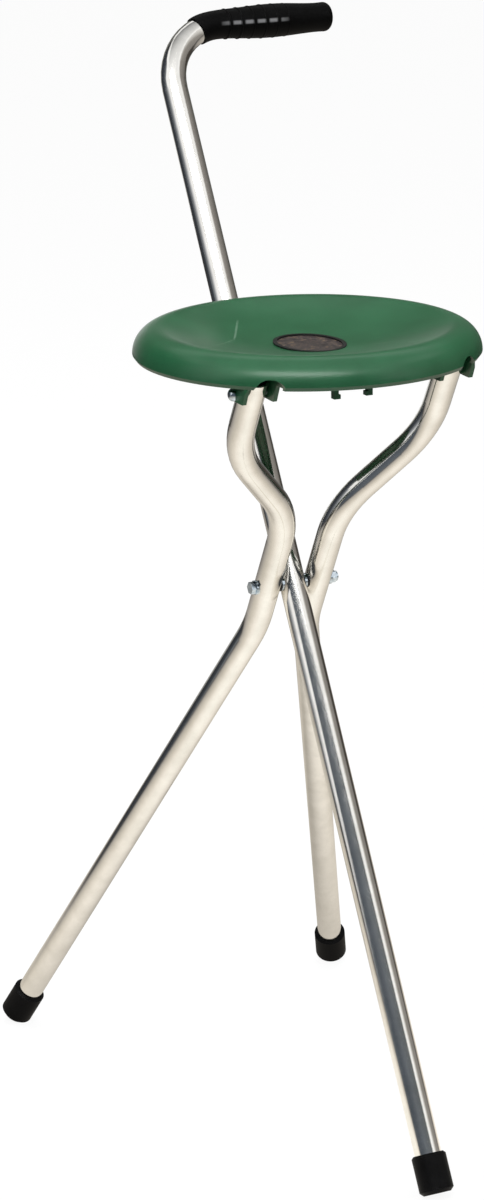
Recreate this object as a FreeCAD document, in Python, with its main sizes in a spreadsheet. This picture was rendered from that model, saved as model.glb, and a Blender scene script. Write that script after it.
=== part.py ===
import FreeCAD, Part
import Sketcher
import math
import os
import re

# Walking stick with a round folding seat on two bent legs
# Millimetres and degrees. +Z up, the front foot towards -Y, the handle towards +X.
# The origin is on the floor, straight below the bolt that joins the stick and the legs.

SIZES = [
    # tubes
    ("tube_diameter", 19.05),
    ("tube_wall", 1.5),
    ("running_clearance", 0.05),
    ("sliding_clearance", 0.45),
    ("cut_margin", 1),
    # stick, measured along it from the pivot bolt
    ("frame_lean", 29.25),
    ("foot_reach", 443.2),
    ("grip_axis_reach", 426.6),
    ("handle_bend_radius", 48),
    ("grip_end_reach", 139),
    # legs, measured along them from the pivot bolt
    ("leg_pivot_offset", 19.9),
    ("leg_top_offset", 75),
    ("leg_splay", 16.43),
    ("lower_bend_drop", 39.6),
    ("waist_bend_rise", 69),
    ("shoulder_bend_rise", 136),
    ("hinge_reach", 190.3),
    ("leg_top_overrun", 12.3),
    ("lower_bend_radius", 90),
    ("waist_bend_radius", 70),
    ("shoulder_bend_radius", 70),
    # ferrules
    ("ferrule_diameter", 24.4),
    ("ferrule_length", 28),
    ("ferrule_floor", 6),
    ("ferrule_top_edge", 1.6),
    ("ferrule_sole_edge", 2.5),
    ("sole_flat", 0.6),
    ("insert_thickness", 1.2),
    # handle grip
    ("grip_neck_diameter", 21.2),
    ("grip_start_diameter", 21.6),
    ("grip_swell_diameter", 25),
    ("grip_end_diameter", 22),
    ("grip_neck_angle", 24.5),
    ("grip_bore_overrun", 2),
    ("grip_swell_place", 85),
    ("grip_end_wall", 5),
    ("grip_end_edge", 5),
    ("grip_end_round", 4.9),
    ("grip_ring_pitch", 9.7),
    ("grip_ring_count", 6),
    ("grip_ring_start", 52),
    ("grip_ring_height", 0.45),
    ("grip_ring_radius", 1.1),
    # pivot bolt
    ("bolt_diameter", 5),
    ("bolt_head_flats", 8),
    ("bolt_head_height", 3.5),
    ("nut_height", 3.6),
    ("nut_collar_diameter", 7.4),
    ("nut_collar_height", 1.4),
    ("nut_ring_wall", 0.7),
    ("nut_ring_height", 0.8),
    ("nut_ring_place", 0.4),
    ("bolt_tail", 0.8),
    ("saddle_diameter", 10.5),
    ("saddle_crown", 0.8),
    # seat
    ("seat_radius", 121.8),
    ("seat_wall", 3),
    ("rim_radius", 18),
    ("rim_height", 20.8),
    ("skirt_draft", 2.1),
    ("dish_depth", 14.2),
    ("skirt_above_hinge", 6.5),
    ("slider_outset", 3),
    # leg lugs under the seat
    ("lug_gap", 19.75),
    ("lug_thickness", 3),
    ("lug_drop", 5),
    ("lug_tip_place", 10),
    ("lug_tip_length", 5),
    ("lug_boss_radius", 4.8),
    ("lug_boss_overlap", 0.2),
    ("lug_front_place", 19),
    ("lug_front_slope", 1.5),
    ("lug_web_reach", 40),
    ("lug_web_lift", 0.6),
    ("leg_arch_diameter", 16.6),
    ("leg_arch_rise", 7.8),
    # centre clip under the seat
    ("clip_throat", 22.6),
    ("clip_mouth", 19.65),
    ("clip_thickness", 3.4),
    ("clip_length", 5),
    ("clip_place", 1.9),
    ("clip_drop", 10.9),
    ("clip_toe_height", 3),
    # ribs under the seat
    ("rib_thickness", 2.4),
    ("rib_lift", 0.8),
    # rear cheeks and slider
    ("cheek_gap", 25.5),
    ("cheek_thickness", 3.5),
    ("cheek_boss_radius", 7),
    ("cheek_front_reach", 21),
    ("notch_radius", 17),
    ("slider_width", 24.5),
    ("slider_above", 3.8),
    ("slider_below", 10),
    ("slider_corner", 4.2),
    ("trunnion_diameter", 7),
    ("stop_pin_diameter", 4),
    ("stop_head_diameter", 8),
    ("stop_head_height", 2.4),
    # hinge pins
    ("pin_diameter", 5),
    ("pin_head_diameter", 9),
    ("pin_head_height", 4),
    ("pin_head_round", 3.2),
    ("pin_set_in", 1.8),
    ("retainer_diameter", 8.6),
    ("retainer_height", 3),
    ("retainer_round", 2.1),
    # badge in the middle of the seat
    ("badge_forward", 4),
    ("badge_width", 48),
    ("badge_length", 63),
    ("badge_ring_width", 2.8),
    ("badge_recess", 0.4),
    ("badge_ring_height", 2.4),
    ("badge_plate_height", 1.3),
]

V = FreeCAD.Vector
doc = FreeCAD.newDocument("WalkingStickSeat")
sheet = doc.addObject("Spreadsheet::Sheet", "Dims")
for row, (alias, size) in enumerate(SIZES, start=1):
    sheet.set("A%d" % row, alias)
    sheet.set("B%d" % row, str(size))
    sheet.setAlias("B%d" % row, alias)
doc.recompute()
WORDS = re.compile(r"\b(%s)\b" % "|".join(alias for alias, size in SIZES))


def bound(formula):
    """The formula with every size name pointing at its cell."""
    return WORDS.sub(r"Dims.\1", formula)


def value(formula):
    """The formula's number, from the sheet as it stands."""
    return float(sheet.evalExpression(bound(formula)))


def bind(thing, prop, formula):
    thing.setExpression(prop, bound(formula))


# Places that follow from the sizes
TUBE_R = "tube_diameter / 2"
SOLE_R = "(ferrule_diameter / 2 - ferrule_sole_edge)"
PIVOT_HEIGHT = f"(foot_reach * cos(frame_lean) + {SOLE_R} * sin(frame_lean) - sole_flat)"
LEG_TILT_SINE = "sqrt(1 - (cos(leg_splay) * cos(frame_lean))^2)"
LEG_REACH = f"(foot_reach + {SOLE_R} * (sin(frame_lean) - {LEG_TILT_SINE}) / cos(frame_lean))"
FOOT_OFFSET = f"(leg_pivot_offset + ({LEG_REACH} - lower_bend_drop) * tan(leg_splay))"
TUBE_END = "(ferrule_floor + insert_thickness)"
SLIDER_REACH = "(2 * hinge_reach * cos(2 * frame_lean))"
SLIDER_Y = "(hinge_reach * sin(3 * frame_lean))"
SLIDER_Z = "(hinge_reach * cos(3 * frame_lean))"
HINGE_Y = "(-hinge_reach * sin(frame_lean))"
HINGE_Z = f"({PIVOT_HEIGHT} + hinge_reach * cos(frame_lean))"
SEAT_CENTRE = f"({SLIDER_Y} - seat_radius - slider_outset)"
CREST_Z = "(skirt_above_hinge + rim_height)"
DISH_Z = f"({CREST_Z} - dish_depth)"
RIM_CENTRE_R = "(seat_radius - rim_radius)"
RIM_CENTRE_Z = f"({CREST_Z} - rim_radius)"
STOP_REACH = f"({SLIDER_REACH} - slider_below - running_clearance - stop_head_diameter / 2)"
BOLT_FACE = f"(leg_pivot_offset + {TUBE_R} + running_clearance + saddle_crown)"
LUG_OUTER = "(lug_gap / 2 + lug_thickness)"
FORM_LOW = "(-lug_drop - clip_drop)"


# A turn of nought would lose its axis, so each bound turn starts from this one
AXIS_KEEPER = 30
# How near two lengths lie when they count as the same
SAME_LENGTH = 0.01


# Helpers for sketches and solids
def new_body(name):
    body = doc.addObject("PartDesign::Body", name)
    body.Label = name
    return body


def new_sketch(body, name, role, offset=None):
    """A sketch on one of the body's own origin planes, moved along its normal by offset."""
    sketch = body.newObject("Sketcher::SketchObject", name)
    plane = [item for item in body.Origin.OriginFeatures if item.Role == role][0]
    sketch.AttachmentSupport = [(plane, "")]
    sketch.MapMode = "FlatFace"
    if offset:
        bind(sketch, "AttachmentOffset.Base.z", offset)
    return sketch


def name_constraint(sketch, constraint, label, formula):
    index = sketch.addConstraint(constraint)
    sketch.renameConstraint(index, label)
    bind(sketch, "Constraints." + label, formula)


def pin_point(sketch, geometry, vertex, x, y):
    """Hold a vertex at formulas x and y from the sketch origin."""
    label = "g%dv%d" % (geometry, vertex)
    name_constraint(sketch, Sketcher.Constraint("DistanceX", -1, 1, geometry, vertex, value(x)),
                    label + "x", x)
    name_constraint(sketch, Sketcher.Constraint("DistanceY", -1, 1, geometry, vertex, value(y)),
                    label + "y", y)


def add_circle(sketch, x, y, radius):
    index = sketch.addGeometry(Part.Circle(V(value(x), value(y), 0), V(0, 0, 1), value(radius)))
    pin_point(sketch, index, 3, x, y)
    name_constraint(sketch, Sketcher.Constraint("Radius", index, value(radius)),
                    "g%dr" % index, radius)
    return index


def add_polygon(sketch, corners):
    """Straight edges through corners given as pairs of formulas."""
    first = sketch.GeometryCount
    spots = [V(value(x), value(y), 0) for x, y in corners]
    count = len(corners)
    for k in range(count):
        sketch.addGeometry(Part.LineSegment(spots[k], spots[(k + 1) % count]))
    for k in range(count):
        sketch.addConstraint(Sketcher.Constraint("Coincident", first + k, 2,
                                                 first + (k + 1) % count, 1))
    for k, (x, y) in enumerate(corners):
        pin_point(sketch, first + k, 1, x, y)


def add_bent_path(sketch, corners, radii):
    """Straight runs through corners, each inner corner rounded by its radius."""
    spots = [V(value(x), value(y), 0) for x, y in corners]
    starts = [spots[0]]
    ends = []
    arcs = []
    for k, radius in enumerate(radii, start=1):
        back = (spots[k - 1] - spots[k]).normalize()
        ahead = (spots[k + 1] - spots[k]).normalize()
        turn = math.pi - back.getAngle(ahead)
        run = value(radius) * math.tan(turn / 2)
        enter = spots[k] + back * run
        leave = spots[k] + ahead * run
        middle = (back + ahead).normalize()
        centre = spots[k] + middle * (value(radius) / math.cos(turn / 2))
        left = back.cross(ahead).z < 0
        first, last = (enter, leave) if left else (leave, enter)
        angles = [math.atan2((p - centre).y, (p - centre).x) for p in (first, last)]
        circle = Part.Circle(centre, V(0, 0, 1), value(radius))
        if angles[1] < angles[0]:
            angles[1] += 2 * math.pi
        arcs.append((Part.ArcOfCircle(circle, angles[0], angles[1]), left))
        ends.append(enter)
        starts.append(leave)
    ends.append(spots[-1])
    lines = [sketch.addGeometry(Part.LineSegment(a, b)) for a, b in zip(starts, ends)]
    pin_point(sketch, lines[0], 1, *corners[0])
    pin_point(sketch, lines[-1], 2, *corners[-1])
    for k, (arc, left) in enumerate(arcs):
        bend = sketch.addGeometry(arc)
        entry, leaving = (1, 2) if left else (2, 1)
        sketch.addConstraint(Sketcher.Constraint("Tangent", lines[k], 2, bend, entry))
        sketch.addConstraint(Sketcher.Constraint("Tangent", bend, leaving, lines[k + 1], 1))
        name_constraint(sketch, Sketcher.Constraint("Radius", bend, value(radii[k])),
                        "bend%d" % k, radii[k])
        corner = sketch.addGeometry(Part.Point(spots[k + 1]), True)
        pin_point(sketch, corner, 1, *corners[k + 1])
        sketch.addConstraint(Sketcher.Constraint("PointOnObject", corner, 1, lines[k]))
        sketch.addConstraint(Sketcher.Constraint("PointOnObject", corner, 1, lines[k + 1]))


def pad(body, sketch, length, midplane=False, reversed_way=False):
    feature = body.newObject("PartDesign::Pad", sketch.Name + "_pad")
    feature.Profile = sketch
    feature.Midplane = midplane
    feature.Reversed = reversed_way
    bind(feature, "Length", length)
    body.Tip = feature
    return feature


def pocket_through(body, sketch):
    """Cut the sketch through everything, both ways from its plane."""
    feature = body.newObject("PartDesign::Pocket", sketch.Name + "_cut")
    feature.Profile = sketch
    feature.Type = "ThroughAll"
    feature.Midplane = True
    body.Tip = feature
    return feature


def revolve(body, sketch, axis="V_Axis"):
    feature = body.newObject("PartDesign::Revolution", sketch.Name + "_turn")
    feature.Profile = sketch
    feature.ReferenceAxis = (sketch, [axis])
    feature.Angle = 360
    body.Tip = feature
    return feature


def place(thing, x="0", y="0", z="0", angle="0", axis=(1, 0, 0)):
    """Bind the placement: a shift, after a turn by angle about an axis."""
    thing.Placement = FreeCAD.Placement(V(0, 0, 0), FreeCAD.Rotation(V(*axis), AXIS_KEEPER))
    for letter, formula in zip("xyz", (x, y, z)):
        bind(thing, "Placement.Base." + letter, formula)
    bind(thing, "Placement.Rotation.Angle", angle)


def on_stick(thing):
    place(thing, z=PIVOT_HEIGHT, angle="-frame_lean")


def on_legs(thing):
    place(thing, z=PIVOT_HEIGHT, angle="frame_lean")


def on_seat(thing):
    place(thing, y=HINGE_Y, z=HINGE_Z)


def combine(kind, name, base, tool):
    """Part::Cut, Part::Fuse or Part::Common of two objects."""
    result = doc.addObject(kind, name)
    result.Base = base
    result.Tool = tool
    result.Label = name
    return result


def fuse_all(name, pieces):
    result = doc.addObject("Part::MultiFuse", name)
    result.Shapes = pieces
    return result


def group(name, pieces):
    result = doc.addObject("Part::Compound", name)
    result.Links = pieces
    result.Label = name
    return result


def rod(name, radius, length, start_x, y="0", z="0"):
    """A cylinder along +X from start_x."""
    cylinder = doc.addObject("Part::Cylinder", name)
    bind(cylinder, "Radius", radius)
    bind(cylinder, "Height", length)
    place(cylinder, x=start_x, y=y, z=z, angle="90", axis=(0, 1, 0))
    return cylinder


# Bent tubes
def drill(body, name, role, x, y, radius):
    """A round hole right through the body, square to one of its planes."""
    sketch = new_sketch(body, name, role)
    add_circle(sketch, x, y, radius)
    pocket_through(body, sketch)


def tube(name, corners, radii, profile_x, profile_z):
    """A round tube along a bent path in the local XZ plane; its profile lies level."""
    body = new_body(name)
    path = new_sketch(body, name + "_path", "XZ_Plane")
    add_bent_path(path, corners, radii)
    profile = new_sketch(body, name + "_section", "XY_Plane", profile_z)
    add_circle(profile, profile_x, "0", TUBE_R)
    add_circle(profile, profile_x, "0", TUBE_R + " - tube_wall")
    sweep = body.newObject("PartDesign::AdditivePipe", name + "_sweep")
    sweep.Profile = profile
    sweep.Spine = path
    body.Tip = sweep
    doc.recompute()
    drill(body, name + "_bolt_hole", "YZ_Plane", "0", "0", "bolt_diameter / 2 + running_clearance")
    return body


def stick_tube():
    bottom = f"-(foot_reach - {TUBE_END})"
    body = tube("stick_tube",
                [("0", bottom), ("0", "grip_axis_reach"),
                 ("grip_end_reach - grip_end_wall", "grip_axis_reach")],
                ["handle_bend_radius"], "0", bottom)
    drill(body, "stop_pin_hole", "XZ_Plane", "0", STOP_REACH,
          "stop_pin_diameter / 2 + running_clearance")
    on_stick(body)
    return body


def leg_tube(name, side):
    top = "(hinge_reach + leg_top_overrun)"
    foot_x = f"{side} * ({FOOT_OFFSET} - {TUBE_END} * sin(leg_splay))"
    foot_z = f"-({LEG_REACH} - {TUBE_END} * cos(leg_splay))"
    body = tube(name,
                [(f"{side} * leg_top_offset", top),
                 (f"{side} * leg_top_offset", "shoulder_bend_rise"),
                 (f"{side} * leg_pivot_offset", "waist_bend_rise"),
                 (f"{side} * leg_pivot_offset", "-lower_bend_drop"),
                 (foot_x, foot_z)],
                ["shoulder_bend_radius", "waist_bend_radius", "lower_bend_radius"],
                f"{side} * leg_top_offset", top)
    drill(body, name + "_hinge_hole", "YZ_Plane", "0", "hinge_reach",
          "pin_diameter / 2 + running_clearance")
    on_legs(body)
    return body


# Rubber ferrules and the steel inserts inside them
def turned(name, corners):
    """A solid turned about local Z from a straight-sided profile."""
    body = new_body(name)
    profile = new_sketch(body, name + "_profile", "XZ_Plane")
    add_polygon(profile, corners)
    revolve(body, profile)
    return body


def ferrule(name, place_it):
    """A cup over the tube's end, its sole worn flat where it stands on the floor."""
    outer = "ferrule_diameter / 2"
    inner = f"{TUBE_R} + running_clearance"
    cup = turned(name + "_cup", [
        ("0", "0"),
        (SOLE_R, "0"),
        (outer, "ferrule_sole_edge"),
        (outer, "ferrule_length - ferrule_top_edge"),
        (f"{outer} - ferrule_top_edge", "ferrule_length"),
        (inner, "ferrule_length"),
        (inner, "ferrule_floor"),
        ("0", "ferrule_floor")])
    place_it(cup)
    floor = doc.addObject("Part::Box", name + "_floor")
    for prop in ("Length", "Width", "Height"):
        bind(floor, prop, "3 * ferrule_diameter")
    bind(floor, "Placement.Base.z", "-3 * ferrule_diameter")
    bind(floor, "Placement.Base.x", cup_corner(name)[0] + " - 1.5 * ferrule_diameter")
    bind(floor, "Placement.Base.y", cup_corner(name)[1] + " - 1.5 * ferrule_diameter")
    return combine("Part::Cut", name, cup, floor)


def cup_corner(name):
    """Where the ferrule stands on the floor, as formulas for X and Y."""
    if name.startswith("stick"):
        return "0", "-foot_reach * sin(frame_lean)"
    side = "-1" if name.startswith("left") else "1"
    return f"{side} * {FOOT_OFFSET}", f"{LEG_REACH} * sin(frame_lean)"


def at_stick_foot(thing, up="0"):
    """Sit on the stick's line, up above its foot."""
    place(thing, y=f"-(foot_reach - {up}) * sin(frame_lean)",
          z=f"{PIVOT_HEIGHT} - (foot_reach - {up}) * cos(frame_lean)", angle="-frame_lean")


def at_leg_foot(thing, side, up="0"):
    """Sit on the lower leg's line: turned by the splay about Y, then by the lean about X."""
    splay = FreeCAD.Rotation(V(0, 1, 0), -side * value("leg_splay"))
    lean = FreeCAD.Rotation(V(1, 0, 0), value("frame_lean"))
    thing.Placement = FreeCAD.Placement(V(0, 0, 0), lean.multiply(splay))
    reach = f"({LEG_REACH} - {up} * cos(leg_splay))"
    bind(thing, "Placement.Base.x", f"{side} * ({FOOT_OFFSET} - {up} * sin(leg_splay))")
    bind(thing, "Placement.Base.y", f"{reach} * sin(frame_lean)")
    bind(thing, "Placement.Base.z", f"{PIVOT_HEIGHT} - {reach} * cos(frame_lean)")


def insert(name):
    """The steel disc that keeps a tube's end from cutting through the rubber."""
    disc = doc.addObject("Part::Cylinder", name)
    bind(disc, "Radius", TUBE_R)
    bind(disc, "Height", "insert_thickness")
    return disc


def ferrules():
    left = ferrule("left_leg_ferrule", lambda cup: at_leg_foot(cup, -1))
    right = ferrule("right_leg_ferrule", lambda cup: at_leg_foot(cup, 1))
    stick = ferrule("stick_ferrule", at_stick_foot)
    stick_insert = insert("stick_ferrule_insert")
    at_stick_foot(stick_insert, "ferrule_floor")
    leg_inserts = []
    for side, name in ((-1, "left_insert"), (1, "right_insert")):
        disc = insert(name)
        at_leg_foot(disc, side, "ferrule_floor")
        leg_inserts.append(disc)
    return [stick, left, right, stick_insert, group("leg_ferrule_inserts", leg_inserts)]


def round_edge(body, radius, height, fillet):
    """Round the circular edge of the given radius at the given local height."""
    doc.recompute()
    tip = body.Tip
    names = []
    for k, edge in enumerate(tip.Shape.Edges, start=1):
        curve = edge.Curve
        if not hasattr(curve, "Radius"):
            continue
        near_height = abs(edge.BoundBox.ZMin - value(height)) < SAME_LENGTH
        near_radius = abs(curve.Radius - value(radius)) < SAME_LENGTH
        if near_height and near_radius:
            names.append("Edge%d" % k)
    feature = body.newObject("PartDesign::Fillet", body.Name + "_round")
    feature.Base = (tip, names)
    bind(feature, "Radius", fillet)
    body.Tip = feature


# Handle grip, made in the stick's own frame
GRIP_LENGTH = "(grip_end_reach - handle_bend_radius)"


def grip_section(name, radius, along="0", bend_angle="0"):
    """A circle square to the grip's line: along the straight, or back around the bend."""
    circle = doc.addObject("Part::Circle", name)
    bind(circle, "Radius", radius)
    place(circle, x=f"handle_bend_radius * (1 - sin({bend_angle})) + {along}",
          z=f"grip_axis_reach - handle_bend_radius * (1 - cos({bend_angle}))",
          angle=f"90 - {bend_angle}", axis=(0, 1, 0))
    return circle


def grip_bend(name, radius, angle):
    """A piece of the bend as a torus segment, back from where the straight starts."""
    torus = doc.addObject("Part::Torus", name)
    bind(torus, "Radius1", "handle_bend_radius")
    bind(torus, "Radius2", radius)
    bind(torus, "Angle3", angle)
    upright = FreeCAD.Rotation(V(1, 0, 0), 90)
    torus.Placement = FreeCAD.Placement(V(0, 0, 0),
                                        upright.multiply(FreeCAD.Rotation(V(0, 0, 1), 90)))
    bind(torus, "Placement.Base.x", "handle_bend_radius")
    bind(torus, "Placement.Base.z", "grip_axis_reach - handle_bend_radius")
    return torus


def handle_grip():
    """A rubber sleeve over the end of the bend and the handle, swelled, with finger rings."""
    neck = "grip_neck_diameter / 2"
    start = "grip_start_diameter / 2"
    swell = "grip_swell_diameter / 2"
    tip = "grip_end_diameter / 2"
    swell_run = "(grip_swell_place - handle_bend_radius)"
    barrel_end = f"({GRIP_LENGTH} - grip_end_edge)"
    sleeve = doc.addObject("Part::Loft", "grip_sleeve")
    sleeve.Sections = [
        grip_section("grip_section_neck", neck, bend_angle="grip_neck_angle"),
        grip_section("grip_section_bend", f"({neck} + {start}) / 2",
                     bend_angle="grip_neck_angle / 2"),
        grip_section("grip_section_start", start),
        grip_section("grip_section_rise", f"({start} + {swell}) / 2", along=f"{swell_run} / 2"),
        grip_section("grip_section_swell", swell, along=swell_run),
        grip_section("grip_section_fall", f"({swell} + {tip}) / 2",
                     along=f"({swell_run} + {barrel_end}) / 2"),
        grip_section("grip_section_tip", tip, along=barrel_end)]
    sleeve.Solid = True
    cap = turned("grip_cap", [("0", "0"), (tip, "0"), (tip, "grip_end_edge"),
                              ("0", "grip_end_edge")])
    round_edge(cap, tip, "grip_end_edge", "grip_end_round")
    place(cap, x=f"handle_bend_radius + {barrel_end}", z="grip_axis_reach", angle="90",
          axis=(0, 1, 0))
    rings = []
    for k in range(int(value("grip_ring_count"))):
        ring = doc.addObject("Part::Torus", "grip_ring_%d" % (k + 1))
        spot = f"(grip_ring_start + {k} * grip_ring_pitch)"
        rising = (f"{start} + ({swell} - {start}) * ({spot} - handle_bend_radius)"
                  f" / {swell_run}")
        falling = (f"{swell} - ({swell} - {tip}) * ({spot} - grip_swell_place)"
                   f" / ({barrel_end} - {swell_run})")
        bind(ring, "Radius1",
             f"min({rising}; {falling}) + grip_ring_height - grip_ring_radius")
        bind(ring, "Radius2", "grip_ring_radius")
        place(ring, x=spot, z="grip_axis_reach", angle="90", axis=(0, 1, 0))
        rings.append(ring)
    outside = fuse_all("grip_outside", [sleeve, cap] + rings)
    radius = f"{TUBE_R} + running_clearance"
    straight = rod("grip_bore_straight", radius, f"{GRIP_LENGTH} - grip_end_wall",
                   "handle_bend_radius", z="grip_axis_reach")
    bend = grip_bend("grip_bore_bend", radius, "grip_neck_angle + grip_bore_overrun")
    bore = fuse_all("grip_bore", [bend, straight])
    grip = combine("Part::Cut", "handle_grip", outside, bore)
    on_stick(grip)
    return grip


# Pivot bolt, nut and the saddle washers between the round tubes
def hexagon(name, flats, height, start_x):
    """A six-sided prism along +X from start_x."""
    prism = doc.addObject("Part::Prism", name)
    prism.Polygon = 6
    bind(prism, "Circumradius", f"{flats} / 2 / cos(30)")
    bind(prism, "Height", height)
    place(prism, x=start_x, angle="90", axis=(0, 1, 0))
    return prism


def pivot_bolt():
    shank_end = f"({BOLT_FACE} + nut_height + nut_collar_height + bolt_tail)"
    head = hexagon("bolt_head", "bolt_head_flats", "bolt_head_height",
                   f"-{BOLT_FACE} - bolt_head_height")
    shank = rod("bolt_shank", "bolt_diameter / 2", f"{BOLT_FACE} + {shank_end}",
                f"-{BOLT_FACE}")
    bolt = combine("Part::Fuse", "pivot_bolt", head, shank)
    on_stick(bolt)
    return bolt


def pivot_nut():
    """A lock nut: six flats, then a round collar that holds the nylon ring."""
    flats = hexagon("nut_flats", "bolt_head_flats", "nut_height", BOLT_FACE)
    collar = rod("nut_collar", "nut_collar_diameter / 2", "nut_collar_height",
                 f"{BOLT_FACE} + nut_height")
    blank = combine("Part::Fuse", "nut_blank", flats, collar)
    thread = rod("nut_thread", "bolt_diameter / 2 + running_clearance",
                 "nut_height + nut_collar_height + 2 * cut_margin",
                 f"{BOLT_FACE} - cut_margin")
    seat = rod("nut_ring_seat", "bolt_diameter / 2 + nut_ring_wall",
               "nut_collar_height + cut_margin", f"{BOLT_FACE} + nut_height + nut_ring_place")
    cutter = combine("Part::Fuse", "nut_cutter", thread, seat)
    nut = combine("Part::Cut", "pivot_nut", blank, cutter)
    on_stick(nut)
    return nut


def nut_ring():
    start = f"{BOLT_FACE} + nut_height + nut_ring_place"
    outside = rod("ring_outside", "bolt_diameter / 2 + nut_ring_wall - running_clearance",
                  "nut_ring_height", start)
    hole = rod("ring_hole", "bolt_diameter / 2 + running_clearance",
               "nut_ring_height + 2 * cut_margin", f"{start} - cut_margin")
    ring = combine("Part::Cut", "nut_nylon_ring", outside, hole)
    on_stick(ring)
    return ring


def saddle(name, flat_x, side, tube_x):
    """A washer, flat at flat_x, hollowed to sit on the tube whose centre is at tube_x."""
    start = flat_x if side > 0 else f"{flat_x} - {TUBE_R}"
    disc = rod(name + "_disc", "saddle_diameter / 2", TUBE_R, start)
    hollow = doc.addObject("Part::Cylinder", name + "_hollow")
    bind(hollow, "Radius", f"{TUBE_R} + running_clearance")
    bind(hollow, "Height", "4 * tube_diameter")
    place(hollow, x=tube_x, z="-2 * tube_diameter")
    hole = rod(name + "_hole", "bolt_diameter / 2 + running_clearance", "4 * saddle_diameter",
               f"{flat_x} - 2 * saddle_diameter")
    cutter = combine("Part::Fuse", name + "_cutter", hollow, hole)
    return combine("Part::Cut", name, disc, cutter)


def saddle_washers():
    """Six saddles: two on the stick, two inside the legs, two outside them."""
    middle = "leg_pivot_offset / 2"
    slack = "running_clearance"
    on_the_stick = []
    inner = []
    outer = []
    for side, hand in ((-1, "left"), (1, "right")):
        leg = f"{side} * leg_pivot_offset"
        on_the_stick.append(saddle(hand + "_stick_saddle", f"{side} * ({middle} - {slack})",
                                   -side, "0"))
        inner.append(saddle(hand + "_inner_saddle", f"{side} * ({middle} + {slack})", side, leg))
        outer.append(saddle(hand + "_outer_saddle", f"{side} * ({BOLT_FACE} - {slack})",
                            -side, leg))
    stick_set = group("stick_saddle_washers", on_the_stick)
    inner_set = group("leg_inner_saddle_washers", inner)
    outer_set = group("leg_outer_saddle_washers", outer)
    on_stick(stick_set)
    on_legs(inner_set)
    on_legs(outer_set)
    return [stick_set, inner_set, outer_set]


# Stop pin through the stick, under the slider
def stop_pin():
    """A rivet from front to back of the stick with a low round head at each side."""
    shank = doc.addObject("Part::Cylinder", "stop_shank")
    bind(shank, "Radius", "stop_pin_diameter / 2")
    bind(shank, "Height", f"2 * ({TUBE_R} + running_clearance + stop_head_height / 2)")
    place(shank, y=f"{TUBE_R} + running_clearance + stop_head_height / 2", z=STOP_REACH, angle="90")
    heads = []
    for side, word in ((-1, "front"), (1, "back")):
        head = doc.addObject("Part::Cylinder", f"stop_head_{word}")
        bind(head, "Radius", "stop_head_diameter / 2")
        bind(head, "Height", "stop_head_height + cut_margin")
        reach = f"({TUBE_R} + running_clearance + stop_head_height)"
        shift = reach if side > 0 else f"-{reach} + stop_head_height + cut_margin"
        place(head, y=shift, z=STOP_REACH, angle="90")
        heads.append(head)
    rivet = fuse_all("stop_blank", [shank] + heads)
    wall = doc.addObject("Part::Cylinder", "stop_tube_outside")
    bind(wall, "Radius", f"{TUBE_R} + running_clearance")
    bind(wall, "Height", "4 * stop_head_diameter")
    place(wall, z=f"{STOP_REACH} - 2 * stop_head_diameter")
    core = doc.addObject("Part::Cylinder", "stop_core")
    bind(core, "Radius", "stop_pin_diameter / 2")
    bind(core, "Height", "2 * tube_diameter")
    place(core, y="tube_diameter", z=STOP_REACH, angle="90")
    heads_only = combine("Part::Cut", "stop_heads", rivet, wall)
    middle = combine("Part::Common", "stop_middle", core, wall)
    pin = combine("Part::Fuse", "slider_stop_pin", heads_only, middle)
    on_stick(pin)
    return pin


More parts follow.
